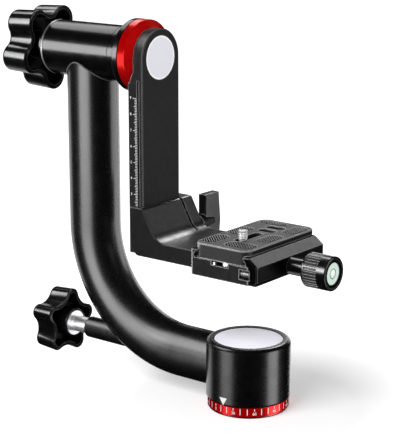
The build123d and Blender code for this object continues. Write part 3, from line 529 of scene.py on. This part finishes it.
# ---- Height scale on the rail's side ----
def make_height_scale():
    shape = bmesh.new()

    def on_rail(x, z):
        return lambda across, up, depth: Vector((x + across, RAIL_SIDE_Y - depth, z + up))

    for millimetre in range(SCALE_LENGTH + 1):
        z = SCALE_ZERO_Z + millimetre
        length = 1.5
        if millimetre % 5 == 0:
            length = 2.2
        if millimetre % 10 == 0:
            length = 3.0
            digit = str(millimetre // 10)
            add_text(shape, digit, 2.3, PRINT_ROOT, PRINT_RISE, on_rail(SCALE_DIGIT_X, z))
        place = on_rail(SCALE_EDGE_X - length / 2, z)
        add_prism(shape, rectangle(length, 0.28), PRINT_ROOT, PRINT_RISE, place)
    new_piece("height_scale", shape, "swing", print_white.material)


# ---- Ribbed rubber pads on the plate ----
# x from, x to, y from, y to, corner radius
PADS = (
    (-17.6, -7.2, -27.0, -7.4, 4.5),
    (-1.0, 19.0, -26.8, -15.2, 4.5),
    (8.8, 18.9, -8.0, 11.2, 4.5),
    (-17.2, -7.0, -2.4, 16.8, 4.5),
    (9.6, 20.0, 17.5, 36.5, 4.5),
    (-16.2, 3.4, 29.9, 37.6, 3.6),
)
RIB_PITCH = 1.46
RIB_PROFILE = ((-0.34, 0.0), (-0.31, 0.50), (-0.24, 0.58), (0.24, 0.58), (0.31, 0.50), (0.34, 0.0))
RIB_ROOT_Z = PLATE_TOP - 0.28
RIB_MARGIN = 0.35
RIB_MIN_LENGTH = 1.5
PAD_BOTTOM_Z = PLATE_TOP - 0.8
PAD_FLOOR_Z = PLATE_TOP - 0.25


def rounded_outline(x0, x1, y0, y1, radius, steps=8):
    points = []
    for x, y, start in ((x1, y1, 0), (x0, y1, 90), (x0, y0, 180), (x1, y0, 270)):
        centre_x = x - radius if start in (0, 270) else x + radius
        centre_y = y - radius if start in (0, 90) else y + radius
        for step in range(steps + 1):
            turn = math.radians(start + 90 * step / steps)
            points.append((centre_x + radius * math.cos(turn), centre_y + radius * math.sin(turn)))
    return points


def chord(outline, point, along):
    """Where a line crosses a convex outline, as two distances along it."""
    found = []
    for start, end in zip(outline, outline[1:] + outline[:1]):
        edge = (end[0] - start[0], end[1] - start[1])
        cross = along[0] * edge[1] - along[1] * edge[0]
        if abs(cross) < 1e-9:
            continue
        gap = (start[0] - point[0], start[1] - point[1])
        where = (gap[0] * along[1] - gap[1] * along[0]) / cross
        if 0 <= where <= 1:
            found.append((gap[0] * edge[1] - gap[1] * edge[0]) / cross)
    return (min(found), max(found)) if len(found) > 1 else None


def make_pads():
    """Six pads, each a flat bed with ribs at 45 degrees across it."""
    shape = bmesh.new()
    lean = math.sqrt(0.5)
    along = (-lean, lean)
    across = (lean, lean)
    for x0, x1, y0, y1, corner in PADS:
        outline = rounded_outline(x0, x1, y0, y1, corner)
        add_prism(shape, outline, PAD_BOTTOM_Z, PAD_FLOOR_Z, lambda u, v, depth: Vector((u, v, depth)))
        inner = rounded_outline(
            x0 + RIB_MARGIN, x1 - RIB_MARGIN, y0 + RIB_MARGIN, y1 - RIB_MARGIN, corner - RIB_MARGIN
        )
        middle = ((x0 + x1) / 2, (y0 + y1) / 2)
        for index in range(-12, 13):
            offset = index * RIB_PITCH
            point = (middle[0] + across[0] * offset, middle[1] + across[1] * offset)
            ends = chord(inner, point, along)
            if not ends or ends[1] - ends[0] < RIB_MIN_LENGTH:
                continue

            def place(side, height, distance, point=point):
                x = point[0] + along[0] * distance + across[0] * side
                y = point[1] + along[1] * distance + across[1] * side
                return Vector((x, y, RIB_ROOT_Z + height))

            add_prism(shape, RIB_PROFILE, ends[0], ends[1], place)
    pads = new_piece("ribbed_pads", shape, "plate", finishes["pad_rubber"])
    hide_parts("rubber_pads")


# ---- Camera screw with its thread ----
def make_camera_screw():
    """The head and shank as stacked rings, and over them rings that follow the thread."""
    shape = bmesh.new()
    sides = 48
    pitch = 1.27
    tooth_depth = 0.62
    lead_in = 0.4
    heights = [99.2, 99.5, 101.75, 102.05, 102.051, 107.45, 107.451]
    radii = [4.7, 5.0, 5.0, 4.7, 2.5, 2.5, 2.6]
    thread_bottom = 107.5
    thread_top = 113.1
    steps = 72
    rings = []
    for height, radius in zip(heights, radii):
        rings.append([(radius, height)] * sides)
    for step in range(steps + 1):
        height = thread_bottom + (thread_top - thread_bottom) * step / steps
        ring = []
        for side in range(sides):
            phase = (height / pitch - side / sides) % 1.0
            tooth = abs(2 * phase - 1)
            tooth = min(1.0, max(0.0, (tooth - 0.08) / 0.8))
            radius = SCREW_R - tooth_depth * tooth
            low_limit = 2.55 + 0.65 * min(1.0, (height - thread_bottom) / lead_in)
            top_limit = 2.45 + thread_top - height
            ring.append((min(radius, low_limit, top_limit), height))
        rings.append(ring)
    rings.append([(1.9, thread_top)] * sides)
    rings.append([(1.7, thread_top - 0.35)] * sides)
    made = []
    for ring in rings:
        row = []
        for side, (radius, height) in enumerate(ring):
            turn = 2 * math.pi * side / sides
            x = SCREW_X + radius * math.cos(turn)
            y = SCREW_Y + radius * math.sin(turn)
            row.append(shape.verts.new((x, y, height)))
        made.append(row)
    for lower, upper in zip(made, made[1:]):
        for side in range(sides):
            after = (side + 1) % sides
            shape.faces.new((lower[side], lower[after], upper[after], upper[side]))
    shape.faces.new(list(reversed(made[0])))
    shape.faces.new(made[-1])
    steel = finishes["bright_steel"]
    screw = new_piece("threaded_camera_screw", shape, "camera_screw", steel)
    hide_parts("camera_screw")


# ---- Coil springs of the clamp ----
def make_springs():
    shape = bmesh.new()
    turns = 5
    steps_a_turn = 20
    steps = turns * steps_a_turn
    start_x = 16.45
    end_x = 22.75
    axis_z = 93.8
    coil_r = 2.15
    wire_r = 0.34
    for axis_y in (-29.0, 34.0):
        path = []
        for step in range(steps + 1):
            turn = 2 * math.pi * step / steps_a_turn
            x = start_x + (end_x - start_x) * step / steps
            path.append(Vector((x, axis_y + coil_r * math.cos(turn), axis_z + coil_r * math.sin(turn))))
        add_tube(shape, path, wire_r, 8)
    springs = new_piece("coil_springs", shape, "carriage", finishes["spring"], True)
    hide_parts("clamp_springs")


# ---- Marks and bubble of the round level ----
def make_level():
    shape = bmesh.new()
    sides = 48
    section = ((2.75, 0.0), (2.75, 0.06), (3.15, 0.06), (3.15, 0.0))
    rings = []
    for radius, rise in section:
        x = LEVEL_FACE_X - 0.02 + rise
        ring = []
        for side in range(sides):
            turn = 2 * math.pi * side / sides
            y = KNOB_Y + radius * math.cos(turn)
            z = KNOB_Z + radius * math.sin(turn)
            ring.append(shape.verts.new((x, y, z)))
        rings.append(ring)
    for first, second in zip(rings, rings[1:] + rings[:1]):
        for side in range(sides):
            after = (side + 1) % sides
            shape.faces.new((first[side], first[after], second[after], second[side]))
    new_piece("level_circle", shape, "clamp_knob", print_black.material)
    # Painted highlight: the bubble is a near white disc, for the light that the bubble catches.
    bubble = Finish("level_bubble_painted_highlight", (0.93, 0.97, 0.95), 0.06, specular=0.8)
    bubble.mottle(1.0, 0.03).smudge(1.0, 0.02)
    shape = bmesh.new()
    bmesh.ops.create_uvsphere(shape, u_segments=32, v_segments=16, radius=1.0)
    place = Matrix.Translation((LEVEL_FACE_X - 0.05, KNOB_Y + 0.2, KNOB_Z + 0.35))
    shape.transform(place @ Matrix.Diagonal((0.35, 2.1, 2.1, 1.0)))
    new_piece("level_bubble", shape, "clamp_knob", bubble.material, smooth=True)


# ---- Weld between the upright arm and the barrel ----
def make_weld():
    """A bead along the line where the two tubes meet, in a paler grey that paints a highlight along the
    joint.
    """
    shape = bmesh.new()
    steps = 96
    stand_off = 0.15
    bead_r = 0.45
    reach = ARM_R + stand_off
    path = []
    for step in range(steps):
        turn = 2 * math.pi * step / steps
        x = ARM_X + reach * math.cos(turn)
        y = reach * math.sin(turn)
        z = TILT_Z - math.sqrt((BARREL_R + stand_off) ** 2 - y * y)
        path.append(Vector((x, y, z)))
    add_tube(shape, path, bead_r, 8, closed=True)
    new_piece("arm_weld", shape, "pan_head", finishes["weld"], True)


make_degree_scale()
make_pointer()
make_height_scale()
make_pads()
make_camera_screw()
make_springs()
make_level()
make_weld()


# ---- Studio ----
def background_rays(tree):
    """1 for the rays that see the background: the camera's, and those in gloss and glass."""
    path = tree.nodes.new("ShaderNodeLightPath")
    total = path.outputs["Is Camera Ray"]
    for name in ("Is Glossy Ray", "Is Transmission Ray"):
        adder = tree.nodes.new("ShaderNodeMath")
        adder.operation = "ADD"
        adder.use_clamp = True
        tree.links.new(total, adder.inputs[0])
        tree.links.new(path.outputs[name], adder.inputs[1])
        total = adder.outputs[0]
    return total


def make_world(strength):
    world = bpy.data.worlds.new("studio")
    bpy.context.scene.world = world
    world.use_nodes = True
    tree = world.node_tree
    ground = tree.nodes["Background"]
    ground.inputs["Color"].default_value = (1.0, 1.0, 1.0, 1.0)
    ranged = tree.nodes.new("ShaderNodeMapRange")
    ranged.inputs["To Min"].default_value = strength
    ranged.inputs["To Max"].default_value = 1.0
    tree.links.new(background_rays(tree), ranged.inputs["Value"])
    tree.links.new(ranged.outputs["Result"], ground.inputs["Strength"])


# The floor's own glow, weak under the object so that its shadow shows, and full further out.
FLOOR_GLOW_NEAR = 0.40
FLOOR_NEAR_R = 0.07
FLOOR_FAR_R = 0.16
FLOOR_R = 9.0


def make_floor():
    material = bpy.data.materials.new("floor_white")
    material.use_nodes = True
    tree = material.node_tree
    tree.nodes.clear()
    paint = tree.nodes.new("ShaderNodeBsdfDiffuse")
    paint.inputs["Color"].default_value = (0.80, 0.80, 0.80, 1.0)
    glow = tree.nodes.new("ShaderNodeEmission")
    place = tree.nodes.new("ShaderNodeTexCoord")
    distance = tree.nodes.new("ShaderNodeVectorMath")
    distance.operation = "LENGTH"
    tree.links.new(place.outputs["Object"], distance.inputs[0])
    ranged = tree.nodes.new("ShaderNodeMapRange")
    ranged.inputs["From Min"].default_value = FLOOR_NEAR_R
    ranged.inputs["From Max"].default_value = FLOOR_FAR_R
    ranged.inputs["To Min"].default_value = FLOOR_GLOW_NEAR
    ranged.inputs["To Max"].default_value = 1.0
    tree.links.new(distance.outputs["Value"], ranged.inputs["Value"])
    seen = tree.nodes.new("ShaderNodeMath")
    seen.operation = "MULTIPLY"
    tree.links.new(ranged.outputs["Result"], seen.inputs[0])
    tree.links.new(background_rays(tree), seen.inputs[1])
    tree.links.new(seen.outputs[0], glow.inputs["Strength"])
    both = tree.nodes.new("ShaderNodeAddShader")
    tree.links.new(paint.outputs[0], both.inputs[0])
    tree.links.new(glow.outputs[0], both.inputs[1])
    out = tree.nodes.new("ShaderNodeOutputMaterial")
    tree.links.new(both.outputs[0], out.inputs["Surface"])
    shape = bmesh.new()
    bmesh.ops.create_circle(shape, cap_ends=True, segments=64, radius=FLOOR_R)
    floor = new_object("floor", shape, material)
    floor.visible_glossy = False
    floor.visible_shadow = False


STUDIO_CENTRE = Vector((-0.05, 0.0, 0.10))
STUDIO_R = 0.95
LAMP_REACH = STUDIO_R * 0.9
WATTS_PER_AREA = 4.0

# The finishes that take the same light.
TUBES = ("arm_coat",)
BARREL = ("barrel_coat", "weld_bead_painted_highlight")
HOUSING = ("housing_coat",)
RAIL = ("rail_anodised",)
BRACKET = ("cast_anodised",)
CLAMP = ("clamp_anodised",)
JAW = ("jaw_anodised_painted_shade",)
WING = ("wing_anodised",)
RED = ("red_gloss",)
KNOBS = ("knob_gloss",)
PLATE = ("plate_blasted",)
PADS_ONLY = ("ribbed_rubber",)
METAL = ("turned_steel", "chrome_steel", "turned_brass", "satin_ring_steel", "spring_steel")
PALE = ("cap_disc", "rail_disc", "level_liquid", "level_bubble_painted_highlight", "print_white", "natural_nylon")
BLACK_GLOSS = TUBES + BARREL + KNOBS + HOUSING
SLAB_EDGES = RAIL + BRACKET + CLAMP + PLATE

# name, plan angle, elevation, width and height in degrees, radiance, finishes that it lights
GLOSS_BOXES = (
    ("tube_upright_wide", -94.0, -14.0, 68.0, 40.0, 0.8, TUBES),
    ("tube_upright", -95.0, -14.0, 48.0, 40.0, 1.3, TUBES),
    ("tube_bend_start", -100.0, 5.0, 44.0, 34.0, 1.7, TUBES),
    ("tube_bend_middle", -106.0, 24.0, 46.0, 36.0, 1.9, TUBES),
    ("tube_bend_end", -124.0, 40.0, 50.0, 36.0, 1.9, TUBES),
    ("tube_level", -145.0, 45.0, 44.0, 32.0, 1.8, TUBES),
    ("back_left", 170.0, -8.0, 34.0, 60.0, 0.9, BLACK_GLOSS),
    ("back_middle", 138.0, -12.0, 24.0, 50.0, 0.7, BLACK_GLOSS + RAIL + BRACKET),
    ("back_right", 106.0, -8.0, 30.0, 60.0, 1.3, BLACK_GLOSS + RAIL + BRACKET),
    ("tube_right", 60.0, -5.0, 96.0, 70.0, 1.5, TUBES),
    ("barrel_left_middle", -127.0, 14.0, 40.0, 24.0, 4.2, BARREL),
    ("barrel_left_inner", -127.0, 14.0, 30.0, 12.0, 6.0, BARREL),
    ("barrel_top", 149.0, 47.0, 40.0, 24.0, 1.6, BARREL),
    ("knob_left", -127.0, 22.0, 46.0, 26.0, 6.5, KNOBS),
    ("knob_left_inner", -127.0, 20.0, 30.0, 12.0, 6.0, KNOBS),
    ("knob_top", 149.0, 48.0, 40.0, 12.0, 4.0, KNOBS),
    ("knob_right", 30.0, 0.0, 20.0, 60.0, 3.0, KNOBS),
    ("housing_left", -112.0, -6.0, 34.0, 60.0, 2.0, HOUSING),
    ("housing_right", 14.0, -6.0, 28.0, 60.0, 3.1, HOUSING),
    ("edge_left", -94.0, -4.0, 22.0, 60.0, 1.1, RAIL + BRACKET),
    ("clamp_left", -94.0, -4.0, 22.0, 60.0, 0.8, CLAMP + PLATE),
    ("clamp_corner", -172.0, -8.0, 24.0, 44.0, 7.0, CLAMP + PLATE),
    ("edge_right", 8.0, -6.0, 20.0, 50.0, 1.8, SLAB_EDGES),
    ("edge_back", -158.0, 50.0, 30.0, 26.0, 4.0, SLAB_EDGES + HOUSING + JAW + WING),
    ("rail_face", 52.0, -12.0, 40.0, 34.0, 0.3, RAIL),
    ("slope_face", 55.0, 22.0, 34.0, 24.0, 0.6, BRACKET),
    ("slope_top", 107.0, 37.0, 18.0, 12.0, 12.0, BRACKET),
    ("housing_back", 112.0, 34.0, 22.0, 14.0, 7.0, HOUSING + WING),
    ("jaw_top", 74.0, 38.0, 40.0, 30.0, 1.6, JAW),
    ("jaw_edge", 20.0, -6.0, 16.0, 40.0, 3.0, JAW),
    ("wing_right", 33.0, 2.0, 30.0, 34.0, 3.8, WING),
    ("wing_low", 30.0, -42.0, 60.0, 24.0, 4.0, WING),
    ("plate_back", 128.0, 14.0, 50.0, 24.0, 1.0, PLATE),
    ("plate_rim", -133.0, 27.0, 44.0, 24.0, 8.0, PLATE),
    ("plate_rim_right", 82.0, 38.0, 26.0, 16.0, 6.0, PLATE),
    ("pad_back", 128.0, 14.0, 50.0, 24.0, 1.8, PADS_ONLY),
    ("red_left", -112.0, -4.0, 50.0, 60.0, 2.0, RED),
    ("red_right", 22.0, -6.0, 50.0, 60.0, 3.5, RED),
    ("red_top", 120.0, 45.0, 60.0, 30.0, 2.0, RED),
    ("metal_left", -112.0, 5.0, 70.0, 90.0, 2.8, METAL),
    ("metal_front", -35.0, -8.0, 70.0, 70.0, 2.8, METAL),
    ("metal_right", 55.0, 0.0, 70.0, 80.0, 2.2, METAL),
    ("metal_top", 120.0, 50.0, 80.0, 50.0, 2.2, METAL),
)
# name, plan angle, elevation, width and height in degrees, radiance
KEY = ("key", -92.0, 40.0, 40.0, 40.0, 4.4)
FILL = ("fill", 5.0, 25.0, 70.0, 60.0, 1.5)
CAP_FILL = ("cap_fill", -40.0, 36.0, 30.0, 30.0, 6.8)


def direction(plan, elevation):
    turn = math.radians(plan)
    rise = math.radians(elevation)
    return Vector((math.cos(turn) * math.cos(rise), math.sin(turn) * math.cos(rise), math.sin(rise)))


def softbox(name, plan, elevation, width, height, radiance):
    """A rectangular lamp inside the tent that faces the studio's centre."""
    data = bpy.data.lights.new(name, "AREA")
    data.shape = "RECTANGLE"
    data.size = 2 * LAMP_REACH * math.tan(math.radians(width / 2))
    data.size_y = 2 * LAMP_REACH * math.tan(math.radians(height / 2))
    data.energy = WATTS_PER_AREA * radiance * data.size * data.size_y
    lamp = bpy.data.objects.new(name, data)
    bpy.context.scene.collection.objects.link(lamp)
    toward = direction(plan, elevation)
    lamp.location = STUDIO_CENTRE + toward * LAMP_REACH
    lamp.rotation_euler = (-toward).to_track_quat("-Z", "Y").to_euler()
    lamp.visible_camera = False
    return lamp


def wearers(names):
    """The objects whose finish is one of the names."""
    found = []
    for thing in list(nodes.values()) + pieces:
        if any(slot.material and slot.material.name in names for slot in thing.material_slots):
            found.append(thing)
    if not found:
        raise ValueError("nothing wears " + ", ".join(names))
    return found


def light_only(lamp, things):
    """Keeps a lamp's light to some of the objects, as a studio does with flags."""
    group = bpy.data.collections.new(lamp.name + "_lights")
    for thing in things:
        group.objects.link(thing)
    lamp.light_linking.receiver_collection = group


def make_lamps():
    for *box, names in GLOSS_BOXES:
        lamp = softbox(*box)
        lamp.visible_diffuse = False
        light_only(lamp, wearers(names))
    key = softbox(*KEY)
    key.visible_glossy = False
    fill = softbox(*FILL)
    fill.visible_glossy = False
    light_only(fill, wearers(RED + METAL + PALE))
    cap_fill = softbox(*CAP_FILL)
    cap_fill.visible_glossy = False
    light_only(cap_fill, wearers(("cap_disc",)))


def make_flags():
    """A black tent round the object. Only gloss sees it."""
    shape = bmesh.new()
    bmesh.ops.create_uvsphere(shape, u_segments=48, v_segments=24, radius=STUDIO_R)
    shape.transform(Matrix.Translation(STUDIO_CENTRE))
    material = bpy.data.materials.new("flag_black")
    material.use_nodes = True
    paint = material.node_tree.nodes["Principled BSDF"]
    paint.inputs["Base Color"].default_value = (0.004, 0.004, 0.004, 1.0)
    paint.inputs["Specular IOR Level"].default_value = 0.0
    paint.inputs["Roughness"].default_value = 1.0
    flags = new_object("studio_flags", shape, material)
    flags.visible_camera = False
    flags.visible_diffuse = False
    flags.visible_shadow = False
    flags.visible_transmission = False
    flags.visible_volume_scatter = False


WORLD_STRENGTH = 0.30

make_camera()
make_world(WORLD_STRENGTH)
make_floor()
make_lamps()
make_flags()
bpy.context.scene.view_settings.view_transform = "Standard"
